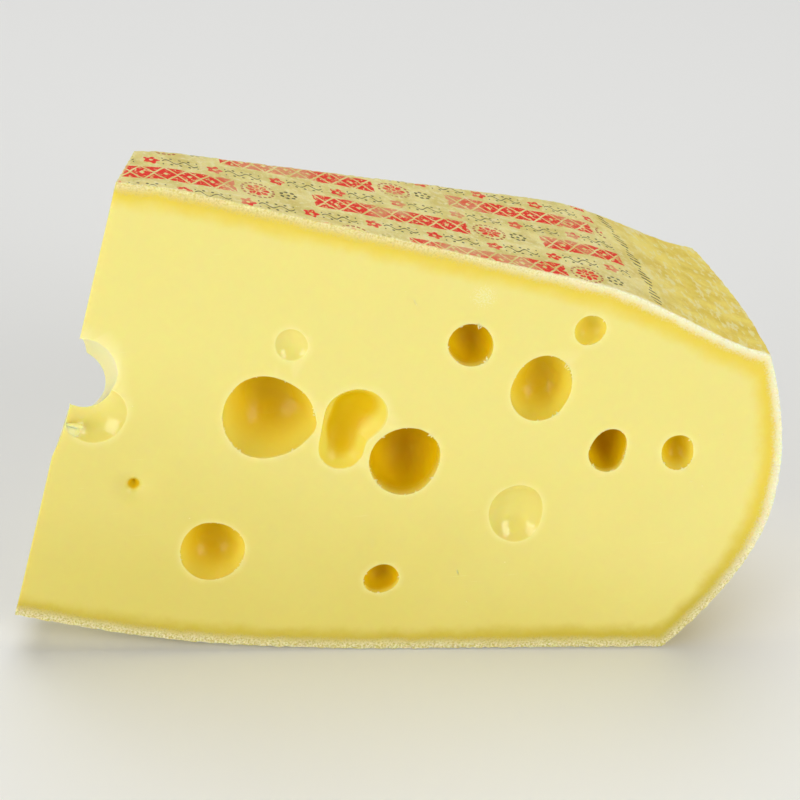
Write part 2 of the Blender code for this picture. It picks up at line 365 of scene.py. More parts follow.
# How far red, green and blue light sink into cheese, against each other, and how strongly it bends
LIGHT_SINK = (1.0, 0.72, 0.22)
CHEESE_IOR = 1.45
# The grainy relief of crust and skin: distance of the bumps in metres, and strength
GRAIN_RELIEF = (0.0007, 0.9)

# Random patterns: how many to a millimetre, how detailed and rough they are, the two levels that they
# rise between, and how strong they get
MOTTLE = (0.075, 4.0, 0.6, 0.36, 0.62, 1.0)
PORES = (0.42, 3.0, 0.5, 0.50, 0.68, 0.6)
BLOOM = (1.0, 3.0, 0.65, 0.50, 0.62, 0.8)
FADING = (0.032, 2.0, 0.5, 0.38, 0.52, 1.0)
WEAR = (0.55, 4.0, 0.7, 0.36, 0.47, 1.0)
STREAKS = (1.0, 1.0, 0.5, 0.72, 0.84, 0.3)
CRUST_GRAIN = (1.05, 3.0, 0.6, 0.36, 0.64, 1.0)
# The bloom is drawn out round the wheel, and the knife's streaks lie aslant across the cut
BLOOM_SCALE = (0.30, 0.14, 0.20)
STREAK_TURN = math.radians(-18.0)
STREAK_SIZE = (22.0, 10.0, 0.9)
# Painted shade darkens the paste downwards and, a little, inwards: how much a millimetre outwards counts
# as one up, how far random patches shift it, and the heights that it eases between. The painted glow at
# the rim of a mouth eases off between these distances
PASTE_LEAN = 0.06
PASTE_SHIFT = 60.0
PASTE_SHADE_HEIGHTS = (-70.0, 80.0)
PAINTED_GLOW_REACH = (-4.0, 3.4)
PAINTED_GLOW_STRENGTH = 0.80
# How deep in an eye its wall eases into gold, partly painted shade
GOLD_REACH = (0.10, 0.80)
# Heights and distances, in millimetres, over which the low crust and band with their painted shade, and
# the heel's crust and skin, set in
LOW_SHADE_START = (30.0, -60.0)
HEEL_START = (250.0, 360.0)
HEEL_SKIN_START = (330.0, 376.0)
# Under the rind, in millimetres: how far depths wander; the yellow band's shift at the heel, and where it
# eases into paste; the shifts of the crust's end by its grain, by the wandering and low down, and where
# it eases into the band
WANDER = 7.0
BAND_HEEL = -1.2
BAND_END = (4.4, 12.8)
GRAIN_SPREAD = 2.2
WANDER_SPREAD = 0.45
CRUST_LOWER = -1.3
CRUST_END = (2.0, 6.6)
# Roughness of the cut, of the paste that lines an eye, of the crust and of the skin, and of an eye's wall
# where it is shallow and deep
CUT_ROUGHNESS = 0.45
LINING_ROUGHNESS = 0.13
CRUST_ROUGHNESS = 0.85
SKIN_ROUGHNESS = 0.62
EYE_ROUGHNESS = (0.24, 0.55)

# A thin whitish smear on the front cut: its middle, radius and soft edge, in millimetres
SMEAR_MIDDLE = (278.2, 0.0, 78.0)
SMEAR_RADIUS = 9.5
SMEAR_EDGE = 4.0

# The camera, as the photograph was taken
CAMERA_PLACE = Vector((-0.09993, -0.92494, 0.61148))
CAMERA_AZIMUTH = math.radians(-6.381)
CAMERA_ELEVATION = math.radians(29.037)
CAMERA_ROLL = math.radians(3.504)
CAMERA_LENS = 107.785
CAMERA_SENSOR = 36.0

# The softboxes: name, azimuth and elevation in degrees, distance, width and height, power in watts
LAMPS = (
    ("left_softbox", -55.0, 14.0, 3.0, (2.0, 1.8), 54.5),
    ("right_softbox", 42.0, 22.0, 3.0, (1.3, 1.8), 44.5),
    ("overhead", 180.0, 68.0, 3.2, (3.0, 3.0), 69.0),
)
LAMP_AIM = Vector((0.0, 0.0, 0.1))
ROOM_LIGHT = 0.11
FLOOR_SIZE = 12.0
FLOOR_HEIGHT = -0.0002

# How a node that maps a range goes from one end to the other when it should ease
EASED = {"interpolation_type": "SMOOTHSTEP"}


def smooth_step(value, start=0.0, width=1.0):
    """Ease from 0 to 1 over a width from a start on."""
    share = np.clip((value - start) / width, 0.0, 1.0)
    return share * share * (3.0 - 2.0 * share)


def top_height(radius):
    """Height of the top rind over the wheel's middle plane."""
    height = TOP_HEIGHT - TOP_SLOPE * (radius - INNER_RADIUS)
    height = height - TOP_SHOULDER_DROP * smooth_step(radius, TOP_SHOULDER, TOP_SHOULDER_WIDTH)
    return height - TIP_DROOP * smooth_step(TIP_DROOP_START - radius, 0.0, TIP_DROOP_WIDTH)


def bottom_height(radius):
    """Height of the bottom rind, below the wheel's middle plane."""
    rise = smooth_step(radius, BOTTOM_SHOULDER, BOTTOM_SHOULDER_WIDTH)
    return BOTTOM_SHOULDER_RISE * rise - BOTTOM_DEPTH


def side_radius(height):
    """Distance of the bulged rim from the wheel's axis at a height."""
    upper = top_height(RIM_RADIUS) - SIDE_MIDDLE
    lower = SIDE_MIDDLE - bottom_height(RIM_RADIUS)
    share = np.where(height > SIDE_MIDDLE, (height - SIDE_MIDDLE) / upper,
                     (SIDE_MIDDLE - height) / lower)
    share = np.clip(share, 0.0, 1.0)
    return RIM_RADIUS + (WHEEL_RADIUS - RIM_RADIUS) * (1.0 - share ** SIDE_FULLNESS)


def half_section():
    """Outline of the wheel's half section, from the inner top down its outer side."""
    reach = RIM_RADIUS - INNER_RADIUS
    upper = float(top_height(RIM_RADIUS))
    lower = float(bottom_height(RIM_RADIUS))
    points = []
    for step in range(TOP_STEPS):
        radius = INNER_RADIUS + reach * step / TOP_STEPS
        points.append((radius, float(top_height(radius))))
    for step in range(SIDE_STEPS + 1):
        height = upper + (lower - upper) * step / SIDE_STEPS
        points.append((float(side_radius(height)), height))
    for step in range(1, BOTTOM_STEPS + 1):
        radius = RIM_RADIUS - reach * step / BOTTOM_STEPS
        points.append((radius, float(bottom_height(radius))))
    return points


def cut_planes():
    """A point and the outward normal of the front, back and tip cuts."""
    front = (Vector((0.0, 0.0, 0.0)), Vector((0.0, -1.0, 0.0)))
    back = (Vector((0.0, 0.0, 0.0)), Vector((-math.sin(WEDGE_ANGLE), math.cos(WEDGE_ANGLE), 0.0)))
    tip = (Vector((TIP_RADIUS, 0.0, 0.0)), Vector((-math.cos(TIP_TURN), math.sin(TIP_TURN), 0.0)))
    return {"front": front, "back": back, "tip": tip}


def face_frame(face):
    """Frame of a cut: X along it, Y up the wheel, Z into the paste."""
    point, outward = cut_planes()[face]
    along = {"front": Vector((1.0, 0.0, 0.0)),
             "back": Vector((math.cos(WEDGE_ANGLE), math.sin(WEDGE_ANGLE), 0.0)),
             "tip": Vector((math.sin(TIP_TURN), math.cos(TIP_TURN), 0.0))}[face]
    frame = Matrix((along, Vector((0.0, 0.0, 1.0)), -outward)).transposed().to_4x4()
    frame.translation = point
    return frame


def lying():
    """From the wheel's frame to the part's frame."""
    across = Vector((-math.sin(HEEL_DROP_SIDE), math.cos(HEEL_DROP_SIDE), 0.0))
    return Matrix.Translation(WHEEL_MIDDLE) @ Matrix.Rotation(HEEL_DROP, 4, across)


def only(piece):
    """Make a piece the one selected and active object."""
    bpy.ops.object.select_all(action="DESELECT")
    piece.select_set(True)
    bpy.context.view_layer.objects.active = piece


def turned_blank():
    """Spin the half section through a little more than the wedge's angle, and cut it."""
    points = half_section()
    bpy.ops.object.select_all(action="DESELECT")
    bpy.ops.mesh.primitive_circle_add(vertices=len(points), radius=RIM_RADIUS)
    blank = bpy.context.object
    start = Matrix.Rotation(ARC_START, 3, "Z")
    for vert, (radius, height) in zip(blank.data.vertices, points):
        vert.co = start @ Vector((radius, 0.0, height))
    bpy.ops.object.mode_set(mode="EDIT")
    bpy.ops.mesh.select_all(action="SELECT")
    bpy.ops.mesh.spin(steps=ARC_STEPS, angle=-ARC_SWEEP, center=(0.0, 0.0, 0.0), axis=(0.0, 0.0, 1.0))
    for point, outward in cut_planes().values():
        bpy.ops.mesh.select_all(action="SELECT")
        bpy.ops.mesh.bisect(plane_co=point, plane_no=outward, use_fill=True, clear_outer=True)
    bpy.ops.mesh.select_all(action="SELECT")
    bpy.ops.mesh.normals_make_consistent(inside=False)
    bpy.ops.object.mode_set(mode="OBJECT")
    return blank


def ball(place, seed, cutters, segments=EYE_SEGMENTS, rings=EYE_RINGS, uneven=1.0):
    """Add a slightly uneven unit ball under a placing matrix to the cutters."""
    bpy.ops.object.select_all(action="DESELECT")
    bpy.ops.mesh.primitive_uv_sphere_add(segments=segments, ring_count=rings, radius=1.0)
    cutter = bpy.context.object
    shift = Vector((seed * 3.7, seed * 1.3, 0.0))
    for vert in cutter.data.vertices:
        swell = sum(size * noise.noise(vert.co * pitch + shift) for pitch, size in BALL_SWELLS)
        vert.co *= 1.0 + swell * uneven
    cutter.data.transform(place)
    for owner in list(cutter.users_collection):
        owner.objects.unlink(cutter)
    cutters.objects.link(cutter)
    return cutter


def ball_size(radius, depth):
    """Half width, half depth and middle's depth of the ball that leaves this mouth and depth."""
    if depth < DISH_LIMIT * radius:
        reach = (radius * radius + depth * depth) / (2.0 * depth)
        return reach, reach, depth - reach
    return radius, depth + BALL_PROUD, -BALL_PROUD


def mouth_swell(eye, degrees):
    """How far an eye's mouth stands out from its circle in a direction."""
    _along, _up, _radius, oval, oval_turn, egg, egg_turn, _depth = eye
    swell = oval * np.cos(np.radians(2.0 * (degrees - oval_turn)))
    return swell + egg * np.cos(np.radians(3.0 * (degrees - egg_turn)))


def eye_ball(face, eye, seed, cutters):
    """Add the ball that opens one eye in a cut face."""
    along, up, radius, *_ovals, depth = eye
    wide, deep, middle = ball_size(radius, depth)
    size = Matrix.Diagonal(Vector((wide, wide, deep, 1.0)))
    place = Matrix.Translation(Vector((0.0, 0.0, middle))) @ size
    cutter = ball(place, seed, cutters, uneven=(radius / wide) ** 2)
    point, pull, width = LARGE_EYE_POINT
    for vert in cutter.data.vertices:
        turn = math.degrees(math.atan2(vert.co.y, vert.co.x))
        grow = float(mouth_swell(eye, turn))
        if eye is LARGE_EYE:
            grow += pull * math.exp(-((turn - point) / width) ** 2)
        vert.co.x *= 1.0 + grow / radius
        vert.co.y *= 1.0 + grow / radius
        if eye is LARGE_EYE:
            vert.co.y += LARGE_EYE_CLIMB * max(0.0, vert.co.z)
    cut = face_frame(face)
    cutter.data.transform(cut @ Matrix.Translation(Vector((along, up, 0.0)) * MM)
                          @ Matrix.Diagonal(Vector((MM, MM, MM, 1.0))))
    if cut.determinant() < 0.0:
        cutter.data.flip_normals()


def fused_reach(places):
    """How far places in millimetres lie outside the bubbles that ran together."""
    total = np.zeros(len(places))
    for along, up, deep, radius in FUSED_BUBBLES:
        away = np.linalg.norm(places - np.array((along, deep, up)), axis=1) - radius
        total += np.exp(-away / FUSED_SOFTNESS)
    return -FUSED_SOFTNESS * np.log(np.maximum(total, 1e-12))


def fused_ball(seed, cutters):
    """Add the smooth lump that opens the kidney-shaped eye."""
    cutter = ball(Matrix.Identity(4), seed, cutters, FUSED_SEGMENTS, FUSED_RINGS)
    along, up, deep = FUSED_MIDDLE
    middle = np.array((along, deep, up))
    ways = places_of(cutter.data)
    swell = np.linalg.norm(ways, axis=1)
    ways /= swell[:, None]
    near, far = np.zeros(len(ways)), np.full(len(ways), FUSED_REACH)
    for _ in range(FUSED_HALVINGS):
        halfway = (near + far) / 2.0
        inside = fused_reach(middle + ways * halfway[:, None]) < 0.0
        near, far = np.where(inside, halfway, near), np.where(inside, far, halfway)
    move_to(cutter.data, (middle + ways * (near * swell)[:, None]) * MM)


def notch_place():
    """Place the long eye that runs through the tip."""
    size = Matrix.Diagonal(Vector(NOTCH_HALF_SIZE + (1.0 / MM,)) * MM)
    dip = Matrix.Rotation(-(math.pi / 2.0 + NOTCH_DIP), 4, "X")
    return Matrix.Translation(Vector(NOTCH_CENTRE) * MM) @ dip @ size


def apply_modifier(piece, name):
    """Apply one modifier of a piece."""
    only(piece)
    bpy.ops.object.modifier_apply(modifier=name)


def open_eyes(wedge):
    """Cut every deep eye out of the finished skin, so that its mouth stays crisp."""
    cutters = bpy.data.collections.new("cutters")
    bpy.context.scene.collection.children.link(cutters)
    seed = 1
    for face, eyes in CUT_EYES:
        for eye in eyes:
            eye_ball(face, eye, seed, cutters)
            seed += 1
    ball(notch_place(), seed, cutters)
    fused_ball(seed + 1, cutters)
    cut = wedge.modifiers.new("eyes", "BOOLEAN")
    cut.operation = "DIFFERENCE"
    cut.solver = "MANIFOLD"
    cut.operand_type = "COLLECTION"
    cut.collection = cutters
    apply_modifier(wedge, "eyes")
    for cutter in list(cutters.objects):
        bpy.data.objects.remove(cutter)
    bpy.data.collections.remove(cutters)


def fine_skin(wedge):
    """Give the wedge one even, fine skin."""
    only(wedge)
    wedge.data.remesh_voxel_size = SKIN_GRAIN
    bpy.ops.object.voxel_remesh()


def places_of(mesh, what="co"):
    """Vertex places, or their normals, as an array with one row each."""
    flat = np.empty(len(mesh.vertices) * 3, dtype=np.float32)
    mesh.vertices.foreach_get(what, flat)
    return flat.reshape(-1, 3).astype(np.float64)


def move_to(mesh, places):
    """Put the vertices at new places."""
    mesh.vertices.foreach_set("co", places.astype(np.float32).ravel())
    mesh.update()


def depth_under(face, places):
    """How far each place lies inside a cut plane."""
    point, outward = cut_planes()[face]
    return -(places - np.array(point)) @ np.array(outward)


def depth_under_cuts(places):
    """How far each place lies inside the nearest cut."""
    return np.min([depth_under(face, places) for face in cut_planes()], axis=0)


def depth_under_rind(places):
    """How far each place lies inside the wheel's skin."""
    radius = np.hypot(places[:, 0], places[:, 1])
    top = (top_height(radius) - places[:, 2]) * TOP_LEAN
    bottom = (places[:, 2] - bottom_height(radius)) * BOTTOM_LEAN
    side = (side_radius(places[:, 2]) - radius) * SIDE_LEAN
    return np.minimum(np.minimum(top, bottom), side)


def seen_from(frame_matrix, places):
    """Places in a frame's own coordinates."""
    padded = np.c_[places, np.ones(len(places))]
    return (padded @ np.array(frame_matrix.inverted()).T)[:, :3]


def off_pin(places):
    """How far each place lies from the pin hole along the front cut, in millimetres."""
    return np.hypot(places[:, 0] / MM - PIN_PLACE[0], places[:, 2] / MM - PIN_PLACE[1])


def rumple(places, size, seed):
    """Smooth random values, one for each place, with bumps about this wide."""
    shift = Vector((seed * 11.3, seed * 5.1, seed * 7.7))
    return np.array([noise.noise(Vector(place) / size + shift) for place in places])


def press_pin(places):
    """Press the pin hole and its soft hollow into the front cut."""
    front = np.abs(places[:, 1]) < PRESS_NEAR
    away = off_pin(places)
    sunk = PIN_SIZE[0] * np.exp(-(away / PIN_SIZE[1]) ** 2)
    sunk += HOLLOW_SIZE[0] * np.exp(-(away / HOLLOW_SIZE[1]) ** 2)
    places[:, 1] += np.where(front, sunk * MM, 0.0)


def flatten_cuts(places, normals):
    """Lay the skin's ripples flat on the three cuts."""
    for point, outward in cut_planes().values():
        away = (places - np.array(point)) @ np.array(outward)
        facing = normals @ np.array(outward)
        near = (np.abs(away) < FLAT_NEAR) & (facing > FLAT_FACING)
        places[near] -= np.outer(away[near], np.array(outward))


def roughen(mesh):
    """Give the cuts, the rind and the eyes their own unevenness."""
    places = places_of(mesh)
    normals = places_of(mesh, "normal")
    flatten_cuts(places, normals)
    rind = depth_under_rind(places)
    skin = 1.0 - smooth_step(rind, *ROUGH_SKIN_END)
    skin = skin * smooth_step(depth_under_cuts(places), *ROUGH_SKIN_EDGE)
    crust = (1.0 - smooth_step(rind, *ROUGH_CRUST_END)) * (1.0 - skin)
    under = smooth_step(-places[:, 2], *UNDERSIDE_START)
    broad, middling, fine = (rumple(places, width, seed) for seed, width in enumerate(BUMP_WIDTHS, 1))
    push = BROAD_HEIGHT * broad
    for zone, heights, rougher in ((skin, SKIN_HEIGHTS, SKIN_ROUGHER),
                                   (crust, CRUST_HEIGHTS, CRUST_ROUGHER)):
        push += zone * (heights[0] * middling + heights[1] * fine) * (1.0 + rougher * under)
    press_pin(places)
    places += normals * push[:, None]
    move_to(mesh, places)


def thin_out(wedge):
    """Bring the triangles down to what a piece may have."""
    wedge.data.calc_loop_triangles()
    count = len(wedge.data.loop_triangles)
    if count <= SKIN_TRIANGLES:
        return
    thin = wedge.modifiers.new("thin", "DECIMATE")
    thin.ratio = SKIN_TRIANGLES / count
    apply_modifier(wedge, "thin")


def store(mesh, name, values):
    """Keep one number for each vertex for the material to read."""
    attribute = mesh.attributes.new(name, "FLOAT", "POINT")
    attribute.data.foreach_set("value", values.astype(np.float32))


def eye_walls(places):
    """How golden each place in an eye is for its depth, and how yellow that eye's wall is: partly the
    lining's own colour and partly painted shade, which also darkens the pin hole.
    """
    deepest, golden = np.zeros(len(places)), np.zeros(len(places))
    for face, eyes in CUT_EYES:
        x, y, sunk = (seen_from(face_frame(face), places) / MM).T
        for eye in eyes:
            along, up, radius, oval, _oval_turn, egg, _egg_turn, depth = eye
            yellow, mouth, gold = (float(np.interp(depth / radius, WALL_DEPTHS, amounts))
                                   for amounts in (WALL_YELLOWS, MOUTH_GOLDS, DEPTH_GOLDS))
            climb = LARGE_EYE_CLIMB * depth if eye is LARGE_EYE else 0.0
            reach = radius * WALL_REACH + oval + egg + climb
            inside = np.hypot(x - along, y - up) < reach
            inside = inside & (sunk > WALL_START) & (sunk < depth + WALL_END)
            # Further into the eye, more gold: painted shade over the lining's own colour
            depths = mouth * smooth_step(sunk, 0.0, MOUTH_GOLD_DEPTH) + gold * sunk / radius
            deepest = np.where(inside, np.maximum(deepest, depths), deepest)
            golden = np.where(inside, np.maximum(golden, yellow), golden)
    sunk = places[:, 1] / MM
    fused = (np.abs(fused_reach(places / MM)) < FUSED_NEAR) & (sunk > WALL_START)
    # Painted shade on the kidney-shaped eye's top wall, and painted light on its lit wall
    shaded = FUSED_SHADED_TOP[1] * np.clip(places[:, 2] / MM - FUSED_SHADED_TOP[0], 0.0, None)
    lit = FUSED_LIT[1] * np.clip(FUSED_LIT[0] - places[:, 0] / MM, 0.0, None)
    deepest = np.where(fused, np.interp(sunk + shaded - lit, FUSED_DEPTHS, FUSED_GOLDS), deepest)
    golden = np.where(fused, 1.0, golden)
    # Painted shade: the pin hole and its hollow turn golden
    spread = PIN_SIZE[1]
    pin = smooth_step(PIN_SHADE_REACH * spread - off_pin(places), 0.0, PIN_SHADE_EASE * spread)
    pin = pin * (sunk < PIN_SHADE_DEPTH)
    deepest = np.maximum(deepest, pin * np.clip(sunk, 0.0, None) / PIN_SIZE[0])
    return deepest, np.maximum(golden, pin)


def rim_distance(places):
    """How far each place on a cut lies outside the nearest mouth, in millimetres, for the painted glow at
    the rims, and less than nothing on the notch's wall, where the glow is painted strong."""
    nearest = np.full(len(places), FAR_OFF)
    for face, eyes in CUT_EYES:
        x, y, sunk = (seen_from(face_frame(face), places) / MM).T
        for eye in eyes:
            across, rise = x - eye[0], y - eye[1]
            mouth = eye[2] + mouth_swell(eye, np.degrees(np.arctan2(rise, across)))
            away = np.abs(np.hypot(across, rise) - mouth)
            nearest = np.where(np.abs(sunk) < ON_CUT, np.minimum(nearest, away), nearest)
    on_cut = np.abs(places[:, 1]) < ON_CUT * MM
    nearest = np.where(on_cut, np.minimum(nearest, np.abs(fused_reach(places / MM))), nearest)
    beyond = np.linalg.norm(seen_from(notch_place(), places), axis=1) - 1.0
    nearest = np.minimum(nearest, np.clip(beyond, 0.0, None) * NOTCH_RADIUS)
    return np.where(np.abs(beyond) < NOTCH_NEAR, NOTCH_PAINTED_GLOW, nearest)


def store_zones(mesh):
    """Note for each vertex how deep it lies under the rind, in an eye, and whether it is skin."""
    places = places_of(mesh)
    rind = depth_under_rind(places)
    skin = 1.0 - smooth_step(rind, *SKIN_COLOUR_END)
    skin = skin * smooth_step(depth_under_cuts(places), *SKIN_COLOUR_EDGE)
    store(mesh, "rind_depth_mm", rind / MM)
    store(mesh, "skin", skin)
    deepest, golden = eye_walls(places)
    store(mesh, "eye_depth", deepest)
    store(mesh, "eye_gold", golden)
    store(mesh, "rim_distance_mm", rim_distance(places))


def keep_in_box(mesh, low, high):
    """Hold the vertices within the solid's box, which also flattens where the wedge rests."""
    move_to(mesh, np.clip(places_of(mesh), np.array(low), np.array(high)))


def share_faces(mesh):
    """Leave the cuts the first material, and give faces that show any skin the second and faces in a
    deep eye the third."""
    corner_verts = np.empty(len(mesh.loops), dtype=np.int32)
    mesh.loops.foreach_get("vertex_index", corner_verts)
    starts = np.empty(len(mesh.polygons), dtype=np.int32)
    mesh.polygons.foreach_get("loop_start", starts)
    kinds = np.zeros(len(starts), dtype=np.int32)
    for name, least, kind in (("eye_gold", 0.3, 2), ("skin", 0.002, 1)):
        amounts = np.empty(len(mesh.vertices), dtype=np.float32)
        mesh.attributes[name].data.foreach_get("value", amounts)
        kinds[np.maximum.reduceat(amounts[corner_verts], starts) > least] = kind
    mesh.polygons.foreach_set("material_index", kinds)


def finish_piece(piece, name, smooth_angle):
    """Name a piece, lay it as the solid lies, hold it in the solid's box and shade it smooth."""
    piece.name = name
    piece.data.name = name
    piece.data.transform(lying())
    keep_in_box(piece.data, *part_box("cheese_wedge"))
    only(piece)
    bpy.ops.object.shade_smooth_by_angle(angle=smooth_angle)


def make_wedge():
    """The whole wedge as one fine closed mesh."""
    wedge = turned_blank()
    fine_skin(wedge)
    roughen(wedge.data)
    thin_out(wedge)
    open_eyes(wedge)
    store_zones(wedge.data)
    finish_piece(wedge, "wedge", WEDGE_SMOOTH_ANGLE)
    return wedge


def on_front(along, up, sink, degrees):
    """Placing matrix for a spot on the front cut, in millimetres, turned this way."""
    spot = Matrix.Translation(Vector((along, up, sink)) * MM)
    return face_frame("front") @ spot @ Matrix.Rotation(math.radians(degrees), 4, "Z")


def sliver(size, place, facets):
    """One small torn sliver of paste, given its half sizes and its place."""
    bpy.ops.object.select_all(action="DESELECT")
    bpy.ops.mesh.primitive_ico_sphere_add(subdivisions=facets, radius=1.0)
    piece = bpy.context.object
    shift = place.translation * 3000.0
    for vert in piece.data.vertices:
        taper = 1.0 - SLIVER_TAPER * max(0.0, vert.co.x)
        vert.co *= 1.0 + SLIVER_LUMPS * noise.noise(vert.co * 1.3 + shift)
        vert.co.y *= taper
        vert.co.z *= taper
    piece.data.transform(place @ Matrix.Diagonal(Vector((*size, 1.0 / MM)) * MM))
    if place.determinant() < 0.0:
        piece.data.flip_normals()
    return piece


def rim_sliver(eye, degrees, length, width, swing, facets):
    """A sliver that hangs from the mouth of a front eye at a direction round it."""
    turn = math.radians(degrees)
    reach = eye[2] + float(mouth_swell(eye, degrees)) - 0.35 * length
    along = eye[0] + reach * math.cos(turn)
    up = eye[1] + reach * math.sin(turn)
    place = on_front(along, up, 0.25 * width, degrees + 180.0 + swing)
    return sliver((length, width, 0.55 * width), place, facets)


def make_crumbs():
    """Torn slivers round the eyes' mouths and a few loose crumbs on the front cut, as one piece."""
    pieces = []
    for number, degrees, length, width, swing in TORN_SLIVERS:
        pieces.append(rim_sliver(FRONT_EYES[number], degrees, length, width, swing, 2))
    draw = random.Random(7)
    for number, count in RAGGED_RIMS:
        for _ in range(count):
            degrees = draw.uniform(0.0, 360.0)
            length = draw.uniform(*SPECK_LENGTHS)
            swing = draw.uniform(-SPECK_SWING, SPECK_SWING)
            pieces.append(rim_sliver(FRONT_EYES[number], degrees, length, SPECK_WIDTH * length, swing, 1))
    for along, up, degrees, length, width in LOOSE_CRUMBS:
        pieces.append(sliver((length, width, 0.6 * width), on_front(along, up, 0.0, degrees), 2))
    for along, up, degrees, length, width in TIP_FLAPS:
        place = on_front(along, up, FLAP_SINK, degrees)
        pieces.append(sliver((length, width, FLAP_THICKNESS), place, 3))
    bpy.ops.object.select_all(action="DESELECT")
    for piece in pieces:
        piece.select_set(True)
    bpy.context.view_layer.objects.active = pieces[0]
    bpy.ops.object.join()
    crumbs = bpy.context.object
    finish_piece(crumbs, "crumbs", CRUMB_SMOOTH_ANGLE)
    return crumbs


def linear(code):
    """An sRGB hex colour as linear RGBA."""
    channels = [int(code[start:start + 2], 16) / 255.0 for start in (0, 2, 4)]
    bent = [c / 12.92 if c <= 0.04045 else ((c + 0.055) / 1.055) ** 2.4 for c in channels]
    return (*bent, 1.0)


def add(tree, kind, inputs=None, **settings):
    """Add a node with its settings, and its input values or links; give back its first live output."""
    node = tree.nodes.new("ShaderNode" + kind)
    for name, value in settings.items():
        setattr(node, name, value)
    for socket, value in (inputs or {}).items():
        if isinstance(value, bpy.types.NodeSocket):
            tree.links.new(value, node.inputs[socket])
        else:
            node.inputs[socket].default_value = value
    return next(output for output in node.outputs if output.enabled)


def pattern(tree, place, numbers, **settings):
    """A random pattern, from nothing to its full strength."""
    scale, detail, roughness, low, high, strength = numbers
    level = add(tree, "TexNoise", {"Vector": place, "Scale": scale, "Detail": detail,
                                   "Roughness": roughness})
    return add(tree, "MapRange", {0: level, 1: low, 2: high, 4: strength}, **settings)


def wheel_coordinates(tree):
    """Object coordinates turned back into the wheel's frame, in millimetres."""
    place = add(tree, "TexCoord").node.outputs["Object"]
    turn = lying().to_euler("XYZ")
    back = add(tree, "Mapping", {"Vector": place, "Location": WHEEL_MIDDLE, "Rotation": turn},
               vector_type="TEXTURE")
    return add(tree, "VectorMath", {0: back, "Scale": 1.0 / MM}, operation="SCALE")


def polar_coordinates(tree, place):
    """Distance from the wheel's axis, arc length round it at the stitches, and height, in millimetres."""
    flat = add(tree, "VectorMath", {0: place, 1: (1.0, 1.0, 0.0)}, operation="MULTIPLY")
    x, y, height = add(tree, "SeparateXYZ", {0: place}).node.outputs
    radius = add(tree, "VectorMath", {0: flat}, operation="LENGTH")
    turn = add(tree, "Math", {0: y, 1: x}, operation="ARCTAN2")
    arc = add(tree, "Math", {0: turn, 1: STITCH_RADIUS}, operation="MULTIPLY")
    return radius, arc, height


def around(tree, along, across, centre):
    """Distance and direction from a motif's centre, in millimetres and radians."""
    shifted = add(tree, "Math", {0: along, 1: centre}, operation="SUBTRACT")
    pair = add(tree, "CombineXYZ", {0: shifted, 1: across})
    away = add(tree, "VectorMath", {0: pair}, operation="LENGTH")
    turn = add(tree, "Math", {0: across, 1: shifted}, operation="ARCTAN2")
    return away, turn


def petals(tree, turn, count, size, middle):
    """A wavy limit round a motif: its middle value, with this many waves of this size."""
    waves = add(tree, "Math", {0: turn, 1: count}, operation="MULTIPLY")
    waves = add(tree, "Math", {0: waves}, operation="COSINE")
    return add(tree, "Math", {0: waves, 1: size, 2: middle}, operation="MULTIPLY_ADD")


def below(tree, value, limit):
    """Ink where a value is under its limit, with a soft printed edge."""
    room = add(tree, "Math", {0: limit, 1: value}, operation="SUBTRACT")
    return add(tree, "MapRange", {0: room, 1: -INK_EDGE, 2: INK_EDGE}, **EASED)


def within(tree, value, middle, half):
    """Ink where a value is this near its middle."""
    away = add(tree, "Math", {0: value, 1: middle}, operation="SUBTRACT")
    away = add(tree, "Math", {0: away}, operation="ABSOLUTE")
    return below(tree, away, half)


def without(tree, ink, gap):
    """Ink with a gap left in it."""
    rest = add(tree, "Math", {0: 1.0, 1: gap}, operation="SUBTRACT")
    return add(tree, "Math", {0: ink, 1: rest}, operation="MULTIPLY")


def diamond_band(tree, along, across):
    """A bold band of diamonds and half diamonds, parted by pale zigzag lines."""
    start = add(tree, "Math", {0: along, 1: BAND_START}, operation="SUBTRACT")
    wave = add(tree, "Math", {0: start, 1: DIAMOND / 2.0}, operation="PINGPONG")
    rise = add(tree, "Math", {0: across}, operation="ABSOLUTE")
    slant = add(tree, "Math", {0: rise, 1: DIAMOND_SLANT, 2: wave}, operation="MULTIPLY_ADD")
    level = within(tree, across, 0.0, BAND_HEIGHT / 2.0)
    reach = within(tree, start, BAND_LENGTH / 2.0, BAND_LENGTH / 2.0)
    band = add(tree, "Math", {0: level, 1: reach}, operation="MULTIPLY")
    band = without(tree, band, within(tree, slant, *ZIGZAG_LINE))
    return without(tree, band, below(tree, slant, DIAMOND_GAP))


def rosette(tree, along, across):
    """A round flower in a dashed ring."""
    away, turn = around(tree, along, across, ROSETTE_PLACE)
    hoop = within(tree, away, *ROSETTE_HOOP)
    dashes = below(tree, petals(tree, turn, ROSETTE_DASHES, 1.0, 0.0), ROSETTE_DASH_SHARE)
    ring = add(tree, "Math", {0: hoop, 1: dashes}, operation="MULTIPLY")
    flower = below(tree, away, petals(tree, turn, *ROSETTE_PETALS))
    reach = within(tree, away, *ROSETTE_SLITS)
    slits = below(tree, petals(tree, turn, ROSETTE_PETALS[0], 1.0, 0.0), ROSETTE_SLIT_SHARE)
    slits = add(tree, "Math", {0: reach, 1: slits}, operation="MULTIPLY")
    flower = without(tree, flower, slits)
    flower = without(tree, flower, within(tree, away, *ROSETTE_MIDDLE))
    return ring, flower


def wreath(tree, along, across):
    """A small dark ring of leaves with a dot in it."""
    away, turn = around(tree, along, across, WREATH_PLACE)
    leaves = within(tree, away, WREATH_RADIUS, petals(tree, turn, *WREATH_LEAVES))
    dot = below(tree, away, WREATH_DOT)
    return add(tree, "Math", {0: leaves, 1: dot}, operation="MAXIMUM")


